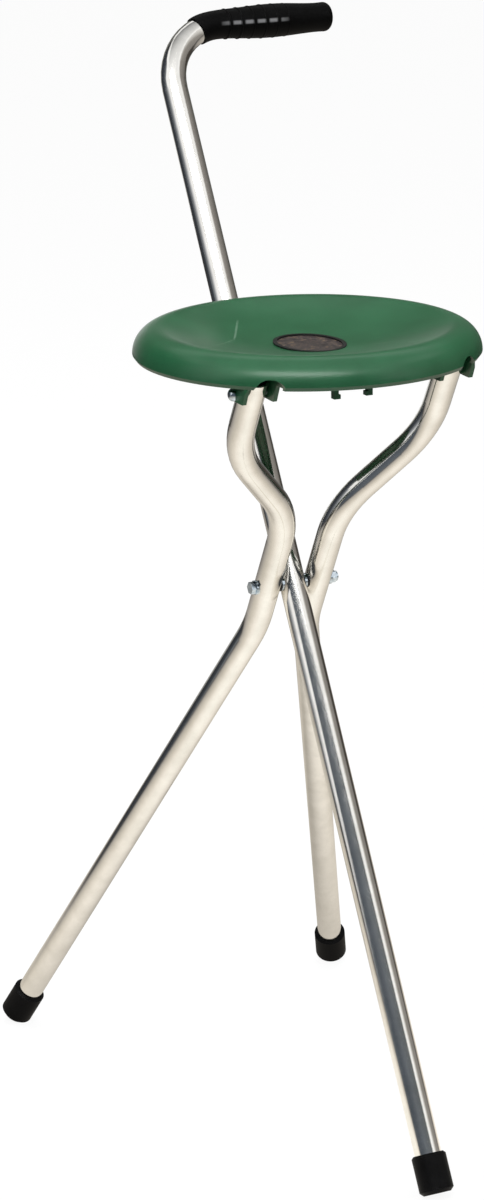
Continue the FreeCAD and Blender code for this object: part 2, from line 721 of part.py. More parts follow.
# Seat, made in its own frame: origin midway between the hinge pins, +Y to the rear
def bowl_profile(body, name, inward=None):
    """The seat's section from its centre line over the dish, crest and rim to the skirt.

    With inward it is a shell of that wall; without, it is filled down to the lug tips.
    """
    sketch = new_sketch(body, name, "XZ_Plane", f"-{SEAT_CENTRE}")
    rim_x = value(RIM_CENTRE_R)
    rim_z = value(RIM_CENTRE_Z)
    rim = value("rim_radius")
    rise = value(DISH_Z) - rim_z
    dish = (rim_x ** 2 + rise ** 2 - rim ** 2) / (2 * (rim - rise))
    dish_z = rim_z + rise + dish

    def skin(depth):
        """Dish arc and rim arc, sunk by depth below the outer surface."""
        turn = math.atan2(rim_z - dish_z, rim_x)
        middle = V(0, dish_z, 0)
        low = Part.ArcOfCircle(Part.Circle(middle, V(0, 0, 1), dish + depth),
                               -math.pi / 2, turn)
        high = Part.ArcOfCircle(Part.Circle(V(rim_x, rim_z, 0), V(0, 0, 1), rim - depth),
                                0, turn + math.pi)
        dish_arc = sketch.addGeometry(low)
        rim_arc = sketch.addGeometry(high)
        sketch.addConstraint(Sketcher.Constraint("PointOnObject", dish_arc, 3, -2))
        sketch.addConstraint(Sketcher.Constraint("Tangent", dish_arc, 2, rim_arc, 2))
        pin_point(sketch, rim_arc, 3, RIM_CENTRE_R, RIM_CENTRE_Z)
        radius = "rim_radius" if depth == 0 else "rim_radius - seat_wall"
        name_constraint(sketch, Sketcher.Constraint("Radius", rim_arc, rim - depth),
                        "rim%d" % rim_arc, radius)
        top = DISH_Z if depth == 0 else f"{DISH_Z} - seat_wall"
        pin_point(sketch, dish_arc, 1, "0", top)
        sketch.addConstraint(Sketcher.Constraint("Horizontal", rim_arc, 3, rim_arc, 1))
        return dish_arc, rim_arc

    def straight(start, end):
        index = sketch.addGeometry(Part.LineSegment(V(*start, 0), V(*end, 0)))
        return index

    outer_dish, outer_rim = skin(0)
    reach = value("seat_radius")
    hem_x = reach - value("skirt_draft")
    hem_z = value("skirt_above_hinge")
    skirt = straight((reach, rim_z), (hem_x, hem_z))
    join = sketch.addConstraint
    join(Sketcher.Constraint("Coincident", outer_rim, 1, skirt, 1))
    pin_point(sketch, skirt, 2, "seat_radius - skirt_draft", "skirt_above_hinge")
    if inward:
        wall = value("seat_wall")
        inner_dish, inner_rim = skin(wall)
        hem = straight((hem_x, hem_z), (hem_x - wall, hem_z))
        inner_skirt = straight((hem_x - wall, hem_z), (reach - wall, rim_z))
        centre = straight((0, value(DISH_Z) - wall), (0, value(DISH_Z)))
        join(Sketcher.Constraint("Coincident", skirt, 2, hem, 1))
        pin_point(sketch, hem, 2, "seat_radius - skirt_draft - seat_wall", "skirt_above_hinge")
        join(Sketcher.Constraint("Coincident", hem, 2, inner_skirt, 1))
        join(Sketcher.Constraint("Coincident", inner_skirt, 2, inner_rim, 1))
        join(Sketcher.Constraint("Coincident", inner_dish, 1, centre, 1))
        join(Sketcher.Constraint("Coincident", centre, 2, outer_dish, 1))
    else:
        low = value(FORM_LOW)
        drop = straight((hem_x, hem_z), (hem_x, low))
        base = straight((hem_x, low), (0, low))
        centre = straight((0, low), (0, value(DISH_Z)))
        join(Sketcher.Constraint("Coincident", skirt, 2, drop, 1))
        pin_point(sketch, drop, 2, "seat_radius - skirt_draft", FORM_LOW)
        join(Sketcher.Constraint("Coincident", drop, 2, base, 1))
        pin_point(sketch, base, 2, "0", FORM_LOW)
        join(Sketcher.Constraint("Coincident", base, 2, centre, 1))
        join(Sketcher.Constraint("Coincident", centre, 2, outer_dish, 1))
    return sketch


def turned_bowl(name, inward):
    body = new_body(name)
    revolve(body, bowl_profile(body, name + "_profile", inward))
    return body


def plate(body, name, corners, start_x, thickness, circle=None):
    """An upright plate in the YZ plane from start_x towards +X, with an optional round boss."""
    sketch = new_sketch(body, name, "YZ_Plane", start_x)
    add_polygon(sketch, corners)
    pad(body, sketch, thickness)
    if circle:
        boss = new_sketch(body, name + "_boss", "YZ_Plane", start_x)
        add_circle(boss, *circle)
        pad(body, boss, thickness)


def box(name, x, y, z, across, along, up):
    """A block from its low corner, with its three sizes."""
    block = doc.addObject("Part::Box", name)
    for prop, formula in (("Length", across), ("Width", along), ("Height", up),
                          ("Placement.Base.x", x), ("Placement.Base.y", y),
                          ("Placement.Base.z", z)):
        bind(block, prop, formula)
    return block


def leg_lugs(body):
    """Two plates each side that hold a hinge pin.

    Their tips lie in front of it, and under the rim they run forward as webs.
    """
    for side, hand in ((-1, "left"), (1, "right")):
        for inward, word in ((-1, "inner"), (1, "outer")):
            middle = f"{side} * (leg_top_offset + {inward} * (lug_gap + lug_thickness) / 2)"
            corners = [
                ("-lug_web_reach", CREST_Z),
                ("-lug_web_reach", "skirt_above_hinge + lug_web_lift"),
                ("-lug_front_place", "skirt_above_hinge + lug_web_lift"),
                ("-lug_front_place + lug_front_slope", "skirt_above_hinge - lug_web_lift"),
                ("-lug_tip_place - lug_tip_length / 2", "-lug_drop"),
                ("-lug_tip_place + lug_tip_length / 2", "-lug_drop"),
                ("0", "-lug_boss_radius + lug_boss_overlap"),
                ("lug_boss_radius", "0"),
                ("lug_boss_radius", CREST_Z)]
            plate(body, f"{hand}_{word}_lug", corners, f"{middle} - lug_thickness / 2",
                  "lug_thickness", ("0", "0", "lug_boss_radius"))


def centre_clip(body):
    """Two fingers with small toes that take the folded stick between them."""
    front = "-clip_place - clip_length / 2"
    back = "-clip_place + clip_length / 2"
    for side, hand in ((-1, "left"), (1, "right")):
        start = "clip_throat / 2" if side > 0 else "-clip_throat / 2 - clip_thickness"
        plate(body, hand + "_finger",
              [(front, CREST_Z), (front, "-clip_drop"), (back, "-clip_drop"), (back, CREST_Z)],
              start, "clip_thickness")
        toe = "clip_mouth / 2" if side > 0 else "-clip_throat / 2 - cut_margin"
        plate(body, hand + "_toe",
              [(front, "-clip_drop + clip_toe_height"), (front, "-clip_drop"),
               (back, "-clip_drop"), (back, "-clip_drop + clip_toe_height")],
              toe, "(clip_throat - clip_mouth) / 2 + cut_margin")


def rear_cheeks(body):
    """The parts of the two rear cheeks that lie under the rim."""
    for side, hand in ((-1, "left"), (1, "right")):
        start = "cheek_gap / 2" if side > 0 else "-cheek_gap / 2 - cheek_thickness"
        plate(body, hand + "_cheek",
              [(f"{SLIDER_Y} - cheek_front_reach", CREST_Z),
               (f"{SLIDER_Y} - cheek_front_reach", "skirt_above_hinge"),
               (SLIDER_Y, f"{SLIDER_Z} - cheek_boss_radius"),
               (f"{SLIDER_Y} + cheek_boss_radius", SLIDER_Z),
               (f"{SLIDER_Y} + cheek_boss_radius", CREST_Z)],
              start, "cheek_thickness")


def cheek_bosses():
    """The round ends of the cheeks, which stand out behind the rim."""
    bosses = []
    for side, hand in ((-1, "left"), (1, "right")):
        start = "cheek_gap / 2" if side > 0 else "-cheek_gap / 2 - cheek_thickness"
        bosses.append(rod(hand + "_cheek_boss", "cheek_boss_radius", "cheek_thickness", start,
                          y=SLIDER_Y, z=SLIDER_Z))
    return bosses


def seat_ribs():
    """Ribs from the clip to the rear cheeks and across to the leg lugs."""
    low = "(skirt_above_hinge + rib_lift)"
    height = f"{CREST_Z} - {low}"
    ribs = []
    for side, hand in ((-1, "left"), (1, "right")):
        start = "cheek_gap / 2" if side > 0 else "-cheek_gap / 2 - rib_thickness"
        ribs.append(box(hand + "_long_rib", start, "-clip_place", low, "rib_thickness",
                        f"{SLIDER_Y} + clip_place - 2 * cheek_boss_radius", height))
        inner_lug = "(leg_top_offset - lug_gap / 2 - lug_thickness / 2)"
        finger = "(clip_throat / 2 + clip_thickness / 2)"
        start = finger if side > 0 else f"-{inner_lug}"
        ribs.append(box(hand + "_cross_rib", start, "-clip_place - rib_thickness / 2", low,
                        f"{inner_lug} - {finger}", "rib_thickness", height))
    return ribs


def oval(name, width, length, height, z):
    """An upright oval block for the badge, just in front of the seat's centre."""
    rim = doc.addObject("Part::Ellipse", name + "_edge")
    bind(rim, "MajorRadius", f"({length}) / 2")
    bind(rim, "MinorRadius", f"({width}) / 2")
    place(rim, y=f"{SEAT_CENTRE} - badge_forward", z=z, angle="90", axis=(0, 0, 1))
    block = doc.addObject("Part::Extrusion", name)
    block.Base = rim
    block.DirMode = "Custom"
    block.Dir = V(0, 0, 1)
    block.Solid = True
    bind(block, "LengthFwd", height)
    return block


BADGE_SEAT_Z = f"({DISH_Z} - badge_recess)"


def seat_shell():
    shell = turned_bowl("seat_bowl", True)
    form = turned_bowl("seat_form", False)
    arches = []
    for side, hand in ((-1, "left"), (1, "right")):
        arch = doc.addObject("Part::Cylinder", hand + "_leg_arch")
        bind(arch, "Radius", "leg_arch_diameter / 2")
        bind(arch, "Height", "2 * lug_front_place")
        place(arch, x=f"{side} * leg_top_offset", y="-lug_front_place / 2",
              z="skirt_above_hinge + leg_arch_rise - leg_arch_diameter / 2", angle="90")
        arches.append(arch)
    notch = rod("rear_notch", "notch_radius", "cheek_gap", "-cheek_gap / 2",
                y=SLIDER_Y, z=SLIDER_Z)
    recess = oval("badge_recess_form", "badge_width + 2 * running_clearance",
                  "badge_length + 2 * running_clearance", "seat_wall", BADGE_SEAT_Z)
    open_shell = combine("Part::Cut", "seat_open_bowl", shell,
                         fuse_all("seat_openings", arches + [notch]))
    webs = new_body("seat_webs")
    leg_lugs(webs)
    centre_clip(webs)
    rear_cheeks(webs)
    inside = combine("Part::Common", "seat_webs_trimmed", form,
                     fuse_all("seat_inner_webs", [webs] + seat_ribs()))
    solid = fuse_all("seat_blank", [open_shell, inside] + cheek_bosses())
    hinge = rod("hinge_bore", "pin_diameter / 2 + running_clearance", "3 * leg_top_offset",
                "-1.5 * leg_top_offset")
    trunnions = rod("trunnion_bore", "trunnion_diameter / 2 + running_clearance",
                    "2 * cheek_gap", "-cheek_gap", y=SLIDER_Y, z=SLIDER_Z)
    shell = combine("Part::Cut", "seat_shell", solid,
                    fuse_all("seat_bores", [hinge, trunnions, recess]))
    on_seat(shell)
    return shell


def badge():
    """A raised oval ring with a flat bare plate inside it, let into the seat."""
    ring = combine("Part::Cut", "badge_ring",
                   oval("ring_block", "badge_width", "badge_length", "badge_ring_height",
                        BADGE_SEAT_Z),
                   oval("ring_opening", "badge_width - 2 * badge_ring_width",
                        "badge_length - 2 * badge_ring_width", "badge_ring_height",
                        BADGE_SEAT_Z))
    inset = "2 * (badge_ring_width + running_clearance)"
    face = oval("badge_plate", f"badge_width - {inset}", f"badge_length - {inset}",
                "badge_plate_height", BADGE_SEAT_Z)
    on_seat(ring)
    on_seat(face)
    return [ring, face]


def hinge_pins():
    """A domed pin at each leg's top, pushed through from outside, with a cap inside."""
    pins = []
    caps = []
    for side, hand in ((-1, "left"), (1, "right")):
        outer = f"{side} * (leg_top_offset + {LUG_OUTER} + running_clearance)"
        dome = turned(hand + "_pin_dome",
                      [("0", "0"), ("pin_head_diameter / 2", "0"),
                       ("pin_head_diameter / 2", "pin_head_height"), ("0", "pin_head_height")])
        round_edge(dome, "pin_head_diameter / 2", "pin_head_height", "pin_head_round")
        place(dome, x=outer, angle=f"{side} * 90", axis=(0, 1, 0))
        length = f"(2 * {LUG_OUTER} + 2 * running_clearance + pin_set_in)"
        start = f"{outer} - {length}" if side > 0 else outer
        shank = rod(hand + "_pin_shank", "pin_diameter / 2", length, start)
        pin = combine("Part::Fuse", hand + "_hinge_pin", dome, shank)
        on_seat(pin)
        pins.append(pin)
        inner = f"{side} * (leg_top_offset - {LUG_OUTER} - running_clearance)"
        cap = turned(hand + "_cap_blank",
                     [("0", "0"), ("retainer_diameter / 2", "0"),
                      ("retainer_diameter / 2", "retainer_height"), ("0", "retainer_height")])
        round_edge(cap, "retainer_diameter / 2", "retainer_height", "retainer_round")
        place(cap, x=inner, angle=f"{-side} * 90", axis=(0, 1, 0))
        depth = "(pin_set_in + running_clearance)"
        start = f"{inner} - {depth}" if side > 0 else inner
        socket = rod(hand + "_cap_bore", "pin_diameter / 2 + running_clearance", depth, start)
        caps.append(combine("Part::Cut", hand + "_cap", cap, socket))
    retainers = group("hinge_pin_retainers", caps)
    on_seat(retainers)
    return pins + [retainers]


def rear_slider():
    """The collar that runs on the stick and swivels between the seat's rear cheeks."""
    body = new_body("rear_slider")
    axle = new_sketch(body, "slider_trunnions", "YZ_Plane")
    add_circle(axle, "0", "0", "trunnion_diameter / 2")
    pad(body, axle, "cheek_gap + 2 * cheek_thickness", midplane=True)
    block = new_sketch(body, "slider_block", "XY_Plane", "-slider_below")
    half = "slider_width / 2"
    cut = f"{half} - slider_corner"
    add_polygon(block, [(f"-({cut})", f"-{half}"), (cut, f"-{half}"), (half, f"-({cut})"),
                        (half, cut), (cut, half), (f"-({cut})", half), (f"-{half}", cut),
                        (f"-{half}", f"-({cut})")])
    pad(body, block, "slider_above + slider_below")
    bore = new_sketch(body, "slider_bore", "XY_Plane")
    add_circle(bore, "0", "0", f"{TUBE_R} + sliding_clearance")
    pocket_through(body, bore)
    place(body, y=f"{SLIDER_REACH} * sin(frame_lean)",
          z=f"{PIVOT_HEIGHT} + {SLIDER_REACH} * cos(frame_lean)", angle="-frame_lean")
    return body


def check(thing):
    """Stop if any object failed or the shape is missing or broken."""
    if thing.Shape.isNull() or not thing.Shape.isValid():
        raise RuntimeError("bad shape: " + thing.Label)


nodes = [stick_tube(), leg_tube("left_leg_tube", -1), leg_tube("right_leg_tube", 1)]
nodes += ferrules()
nodes += [handle_grip(), pivot_bolt(), pivot_nut(), nut_ring()]
nodes += saddle_washers()
nodes += [stop_pin(), seat_shell()]
nodes += badge()
nodes += hinge_pins()
nodes += [rear_slider()]
doc.recompute()
for thing in doc.Objects:
    if "Invalid" in thing.State or "Error" in thing.State:
        raise RuntimeError("failed: %s %s" % (thing.Label, thing.State))
for node in nodes:
    check(node)
os.makedirs("parts", exist_ok=True)
for node in nodes:
    node.Shape.exportStep("parts/%s.step" % node.Label)
    print(node.Label, len(node.Shape.Solids), round(node.Shape.Volume, 1))
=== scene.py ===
import math

import bpy
from mathutils import Euler, Matrix, Vector

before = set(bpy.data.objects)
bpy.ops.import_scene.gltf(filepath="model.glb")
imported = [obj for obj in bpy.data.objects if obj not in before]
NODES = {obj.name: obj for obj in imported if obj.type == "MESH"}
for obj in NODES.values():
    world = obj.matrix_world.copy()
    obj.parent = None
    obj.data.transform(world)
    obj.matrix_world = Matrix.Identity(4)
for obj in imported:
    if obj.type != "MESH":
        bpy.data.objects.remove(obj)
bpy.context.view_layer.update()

# Camera: bearing and distance from the pivot's plumb line, height, and aim in degrees
CAMERA_BEARING = -26.341
CAMERA_DISTANCE = 2.4435
CAMERA_HEIGHT = 1.0895
CAMERA_HEADING = -25.494
CAMERA_PITCH = 16.235
CAMERA_ROLL = -0.870
LENS_MM = 106.476
SENSOR_MM = 36.0
NEAREST_SEEN = 0.05
FARTHEST_SEEN = 50.0

# Floor: how it looks to the camera, what it gives back to the object, and its reflected tones
# as (share of the reach from the bright spot, colour), with a shade under the seat
WHITE = (1.0, 1.0, 1.0, 1.0)
FLOOR_SIZE = 60
PAPER_GLOW = 1.05
PAPER_SHARE = 0.86
PAPER_GREY = (0.9, 0.9, 0.9, 1.0)
BOUNCE_GREY = (0.22, 0.22, 0.22, 1.0)
FLOOR_BRIGHT_SPOT = (-0.05, -0.2, 0.0)
FLOOR_TONE_REACH = 2.5
FLOOR_TONES = [
    (0.04, (1.10, 1.06, 0.97, 1.0)),
    (0.12, (0.98, 0.92, 0.83, 1.0)),
    (0.19, (0.82, 0.76, 0.67, 1.0)),
    (0.30, (0.66, 0.61, 0.53, 1.0)),
    (0.52, (0.49, 0.455, 0.41, 1.0)),
    (0.78, (0.31, 0.29, 0.27, 1.0)),
    (1.0, (0.05, 0.048, 0.045, 1.0)),
]
SEAT_SHADE_SPOT = (0.02, 0.3, 0.0)
SEAT_SHADE_CORE = 0.04
SEAT_SHADE_EDGE = 0.32
SEAT_SHADE_KEPT = 0.6

# Light all round, and how bright the cards are in a reflection of a reflection
AMBIENT = 0.5
SECOND_BOUNCE = 0.4

# Upright cards: name, bearing from and to, foot, top at either end, 8-bit tone at either end,
# strength, distance. Bearing 0 is towards +Y and 90 towards +X.
UPRIGHT_CARDS = [
    ("left_rear_shade", -15, -52, 0, 3.0, 3.0, (40, 43, 48), (64, 68, 74), 1.0, 2.8),
    ("left_shade", -52, -69, 0, 3.0, 3.0, (66, 70, 76), (128, 132, 137), 1.0, 2.8),
    ("left_glow", -69, -90, 0.2, 1.75, 1.75, (128, 132, 137), (250, 250, 252), 1.0, 2.8),
    ("front_left_foot", -82, -100, 0, 0.1, 0.85, (98, 104, 110), (80, 86, 94), 1.0, 2.8),
    ("front_left_low", -100, -124, 0, 0.85, 2.5, (78, 84, 92), (86, 92, 100), 1.0, 2.8),
    ("front_shade", -124, -150, 0, 2.5, 2.8, (88, 94, 102), (100, 106, 113), 1.0, 2.8),
    ("front_right_shade", -150, -184, 0, 2.8, 2.8, (100, 106, 113), (97, 102, 106), 1.0, 2.8),
    ("front_right_low", -184, -201, 0, 2.6, 1.7, (97, 102, 106), (106, 110, 110), 1.0, 2.8),
    ("softbox_edge", -112, -184, 2.58, 2.85, 2.85, (185, 185, 186), (200, 200, 200), 1.5, 2.8),
    ("front_softbox", -112, -184, 2.85, 4.6, 4.6, (255, 255, 255), (255, 255, 255), 9.0, 3.0),
    ("right_glow", 140, 124, 0, 3.0, 3.0, (235, 233, 230), (150, 146, 141), 1.0, 2.8),
    ("right_flag", 124, 104, 0, 3.0, 3.0, (150, 146, 141), (140, 136, 132), 1.0, 2.8),
    ("right_rear_flag", 104, 80, 0, 2.6, 2.6, (138, 134, 130), (116, 113, 109), 1.0, 2.8),
    ("right_rear_shade", 80, 52, 0, 3.0, 3.0, (112, 110, 106), (92, 90, 86), 1.0, 2.8),
    ("right_low_shade", 94, 60, 0, 0.85, 0.85, (76, 71, 67), (62, 58, 54), 1.0, 2.6),
    ("backdrop_low_right", 52, 30, 0, 0.95, 0.95, (64, 64, 62), (150, 150, 147), 1.0, 3.0),
    ("backdrop_low", 30, 8, 0, 0.95, 0.95, (190, 189, 186), (255, 255, 255), 1.3, 3.0),
    ("backdrop_low_left", 8, -15, 0, 0.95, 0.95, (215, 214, 210), (120, 120, 118), 1.0, 3.0),
    ("backdrop", 52, -15, 0.95, 3.0, 3.0, (104, 104, 100), (104, 104, 100), 1.0, 3.0),
]

# Card overhead, along one bearing from the camera's side to the far side
CEILING_BEARING = 26
CEILING_START = -1.9
CEILING_END = 2.2
CEILING_HEIGHT = 4.0
CEILING_WIDTH = 5.0
CEILING_TONES = ((250, 250, 250), (110, 111, 113))

# Lamps: name, place, width, watts
LAMP_AIM = Vector((0, 0, 0.5))
LAMPS = [
    ("key", (-1.6, -2.2, 2.6), 1.6, 60),
    ("top", (0.3, 0.4, 2.8), 1.8, 34),
    ("fill", (2.2, -1.2, 1.4), 1.4, 10),
]

# Rubber: how black it is, and the shares of that in its dull and dusty spots
GRIP_GREY = 0.0012
FERRULE_GREY = 0.004
RUBBER_DULL = (0.6, 0.6, 0.65)
RUBBER_DUSTY = (1.7, 1.7, 1.8)

# Finger rings on the grip, in metres along X, and the height of the painted highlight line on
# them
RING_START = 0.0481
RING_PITCH = 0.0097
RING_COUNT = 6
GRIP_HIGHLIGHT_HEIGHT = 0.7649

# Scratches on the dish: both ends seen from above and half the width, in metres
SEAT_SCRATCHES = [
    ((-0.020, 0.042), (-0.047, -0.008), 0.0007),
    ((-0.045, -0.004), (-0.074, -0.032), 0.0005),
    ((0.0455, -0.0881), (0.054, -0.1100), 0.0006),
    ((0.030, -0.062), (0.047, -0.074), 0.0005),
]


def srgb(red, green, blue):
    """A linear colour from 8-bit display values."""
    def linear(v):
        v = v / 255
        return v / 12.92 if v <= 0.04045 else ((v + 0.055) / 1.055) ** 2.4
    return (linear(red), linear(green), linear(blue), 1.0)


# Node helpers
def feed(tree, node, inputs):
    """Set or link a node's inputs, given as (name or index, value or socket)."""
    for key, given in inputs:
        if isinstance(given, bpy.types.NodeSocket):
            tree.links.new(given, node.inputs[key])
        else:
            node.inputs[key].default_value = given


def add(tree, kind, inputs=(), **settings):
    """A node with its settings and inputs."""
    node = tree.nodes.new(kind)
    for key, setting in settings.items():
        setattr(node, key, setting)
    feed(tree, node, inputs)
    return node


def calc(tree, operation, *values):
    """The result of a sum on numbers or sockets."""
    return add(tree, "ShaderNodeMath", enumerate(values), operation=operation).outputs[0]


def vector_calc(tree, operation, result, *values):
    """The result, "Vector" or "Value", of a sum on vectors."""
    return add(tree, "ShaderNodeVectorMath", enumerate(values),
               operation=operation).outputs[result]


def noise(tree, vector, scale, detail, roughness=0.5):
    return add(tree, "ShaderNodeTexNoise",
               [("Vector", vector), ("Scale", scale), ("Detail", detail),
                ("Roughness", roughness)]).outputs["Fac"]


def ramp(tree, factor, stops):
    """A colour ramp through (position, colour) stops."""
    node = add(tree, "ShaderNodeValToRGB", [("Fac", factor)])
    elements = node.color_ramp.elements
    while len(elements) < len(stops):
        elements.new(0.5)
    for element, (position, colour) in zip(elements, stops):
        element.position = position
        element.color = colour
    return node.outputs["Color"]


def blend(tree, factor, below, above):
    """A colour laid over another one by a factor."""
    return add(tree, "ShaderNodeMix", [("Factor", factor), (6, below), (7, above)],
               data_type="RGBA").outputs[2]


def spread(tree, factor, low, high):
    """Map 0 to 1 onto low to high."""
    return add(tree, "ShaderNodeMapRange",
               [("Value", factor), ("To Min", low), ("To Max", high)]).outputs["Result"]


def band(tree, value, middle, half, soft):
    """1 where value lies within half of middle, fading to 0 over soft."""
    away = calc(tree, "ABSOLUTE", calc(tree, "SUBTRACT", value, middle))
    return add(tree, "ShaderNodeMapRange",
               [("Value", away), ("From Min", half), ("From Max", half + soft),
                ("To Min", 1.0), ("To Max", 0.0)]).outputs["Result"]


def bump(tree, height, strength, distance):
    return add(tree, "ShaderNodeBump",
               [("Height", height), ("Strength", strength),
                ("Distance", distance)]).outputs["Normal"]


def place_of(tree):
    """Object coordinates in metres."""
    return add(tree, "ShaderNodeTexCoord").outputs["Object"]


def glow(tree, colour, strength):
    return add(tree, "ShaderNodeEmission",
               [("Color", colour), ("Strength", strength)]).outputs[0]


def matte(tree, colour):
    return add(tree, "ShaderNodeBsdfDiffuse", [("Color", colour)]).outputs[0]


def mix(tree, factor, first, second):
    """The first shader at 0 and the second at 1."""
    return add(tree, "ShaderNodeMixShader", [(0, factor), (1, first), (2, second)]).outputs[0]


def new_material(name):
    """A material with its tree and its shader."""
    material = bpy.data.materials.new(name)
    material.use_nodes = True
    tree = material.node_tree
    return material, tree, tree.nodes["Principled BSDF"]


def empty_material(name):
    """A material with its tree, which holds no nodes yet."""
    material, tree, _ = new_material(name)
    tree.nodes.clear()
    return material, tree


# Object helpers
def new_object(name, data):
    piece = bpy.data.objects.new(name, data)
    bpy.context.scene.collection.objects.link(piece)
    return piece


def panel(name, corners):
    """An object of one four-sided face."""
    mesh = bpy.data.meshes.new(name)
    mesh.from_pydata(corners, [], [(0, 1, 2, 3)])
    return new_object(name, mesh)


def give(material, *names):
    """Show CAD nodes in a material."""
    for name in names:
        for slot in NODES[name].material_slots:
            slot.link = "OBJECT"
            slot.material = material


# Materials
def polished_aluminium():
    """Drawn and polished tube: warm white metal with faint clouding and handling marks."""
    material, tree, shader = new_material("polished_aluminium")
    place = place_of(tree)
    cloud = noise(tree, place, scale=55.0, detail=5.0, roughness=0.6)
    smear = noise(tree, place, scale=95.0, detail=5.0, roughness=0.6)
    grain = noise(tree, place, scale=700.0, detail=2.0)
    colour = ramp(tree, cloud, [(0.3, (0.80, 0.785, 0.745, 1)), (0.7, (0.93, 0.915, 0.88, 1))])
    feed(tree, shader, [("Metallic", 1.0), ("Base Color", colour),
                        ("Roughness", spread(tree, smear, low=0.08, high=0.17)),
                        ("Normal", bump(tree, grain, strength=0.006, distance=0.0002))])
    return material


def black_rubber(name, grey):
    """Moulded rubber with a fine grain and slightly dusty high spots."""
    material, tree, shader = new_material(name)
    place = place_of(tree)
    dust = noise(tree, place, scale=60.0, detail=6.0, roughness=0.65)
    grain = noise(tree, place, scale=2600.0, detail=2.0)
    dull, dusty = ([grey * share for share in shares] + [1.0]
                   for shares in (RUBBER_DULL, RUBBER_DUSTY))
    colour = ramp(tree, dust, [(0.35, dull), (0.75, dusty)])
    feed(tree, shader, [("Specular IOR Level", 0.07), ("Base Color", colour),
                        ("Roughness", spread(tree, dust, low=0.42, high=0.58)),
                        ("Normal", bump(tree, grain, strength=0.12, distance=0.0002))])
    return material, tree, shader, colour


def grip_rubber():
    """Black rubber with a painted highlight: small pale spots on the finger rings' front."""
    material, tree, shader, colour = black_rubber("grip_rubber", GRIP_GREY)
    axes = add(tree, "ShaderNodeSeparateXYZ", [("Vector", place_of(tree))])
    along = calc(tree, "DIVIDE", calc(tree, "SUBTRACT", axes.outputs["X"], RING_START),
                 RING_PITCH)
    off_ring = calc(tree, "SUBTRACT", along, calc(tree, "ROUND", along))
    on_ring = band(tree, off_ring, middle=0.0, half=0.24, soft=0.16)
    middle = (RING_COUNT - 1) / 2
    in_row = band(tree, along, middle, half=middle - 0.7, soft=1.3)
    at_front = band(tree, axes.outputs["Z"], GRIP_HIGHLIGHT_HEIGHT, half=0.0007, soft=0.0011)
    painted_highlight = calc(tree, "MULTIPLY", calc(tree, "MULTIPLY", on_ring, in_row), at_front)
    # The pale spots on the rings' front are a painted highlight standing in for a lamp's
    # reflection on the rings
    feed(tree, shader, [("Base Color", blend(tree, painted_highlight, colour, srgb(128, 128, 130)))])
    return material


def scratch(tree, place, start, end, half_width):
    """1 along a broken scratch between two points seen from above, and 0 off it."""
    along = Vector((end[0] - start[0], end[1] - start[1], 0))
    way = along.normalized()
    across = Vector((-way.y, way.x, 0))
    middle = Vector((start[0] + end[0], start[1] + end[1], 0)) / 2
    half = along.length / 2
    off = vector_calc(tree, "SUBTRACT", "Vector", place, middle)
    aside = vector_calc(tree, "DOT_PRODUCT", "Value", off, across)
    down = vector_calc(tree, "DOT_PRODUCT", "Value", off, way)
    line = calc(tree, "MULTIPLY",
                band(tree, aside, middle=0.0, half=half_width / 2, soft=half_width),
                band(tree, down, middle=0.0, half=half * 0.6, soft=half * 0.4))
    return calc(tree, "MULTIPLY", line, noise(tree, place, scale=220.0, detail=2.0))


def seat_green():
    """Moulded polypropylene: clouded green, fine grain, a few long scratches."""
    material, tree, shader = new_material("seat_green")
    place = place_of(tree)
    cloud = noise(tree, place, scale=22.0, detail=6.0, roughness=0.6)
    grain = noise(tree, place, scale=900.0, detail=3.0)
    colour = ramp(tree, cloud, [(0.3, srgb(26, 82, 50)), (0.7, srgb(36, 95, 61))])
    for start, end, half_width in SEAT_SCRATCHES:
        mark = scratch(tree, place, start, end, half_width)
        colour = blend(tree, mark, colour, srgb(110, 142, 120))
    feed(tree, shader, [("Base Color", colour),
                        ("Roughness", spread(tree, cloud, low=0.29, high=0.34)),
                        ("Normal", bump(tree, grain, strength=0.15, distance=0.0003))])
    return material


def badge_metal():
    """A bare stamped plate: dull brown-grey, rubbed brassy in small clouds."""
    material, tree, shader = new_material("badge_brown")
    cloud = noise(tree, place_of(tree), scale=330.0, detail=5.0, roughness=0.6)
    colour = ramp(tree, cloud, [(0.38, srgb(52, 45, 46)), (0.55, srgb(84, 74, 72)),
                                (0.72, srgb(146, 122, 92))])
    feed(tree, shader, [("Metallic", 0.35), ("Base Color", colour),
                        ("Roughness", spread(tree, cloud, low=0.34, high=0.52)),
                        ("Normal", bump(tree, cloud, strength=0.3, distance=0.0003))])
    return material


def zinc_plate():
    """Bluish bright zinc with cloudy passivation."""
    material, tree, shader = new_material("zinc_plate")
    cloud = noise(tree, place_of(tree), scale=420.0, detail=3.0)
    colour = ramp(tree, cloud, [(0.3, (0.40, 0.49, 0.57, 1)), (0.7, (0.78, 0.86, 0.92, 1))])
    feed(tree, shader, [("Metallic", 1.0), ("Base Color", colour),
                        ("Roughness", spread(tree, cloud, low=0.10, high=0.24))])
    return material


def dull_plastic(name, dark, pale):
    """Plastic clouded between two colours."""
    material, tree, shader = new_material(name)
    cloud = noise(tree, place_of(tree), scale=150.0, detail=4.0)
    feed(tree, shader, [("Base Color", ramp(tree, cloud, [(0.3, dark), (0.7, pale)])),
                        ("Roughness", spread(tree, cloud, low=0.45, high=0.62))])
    return material


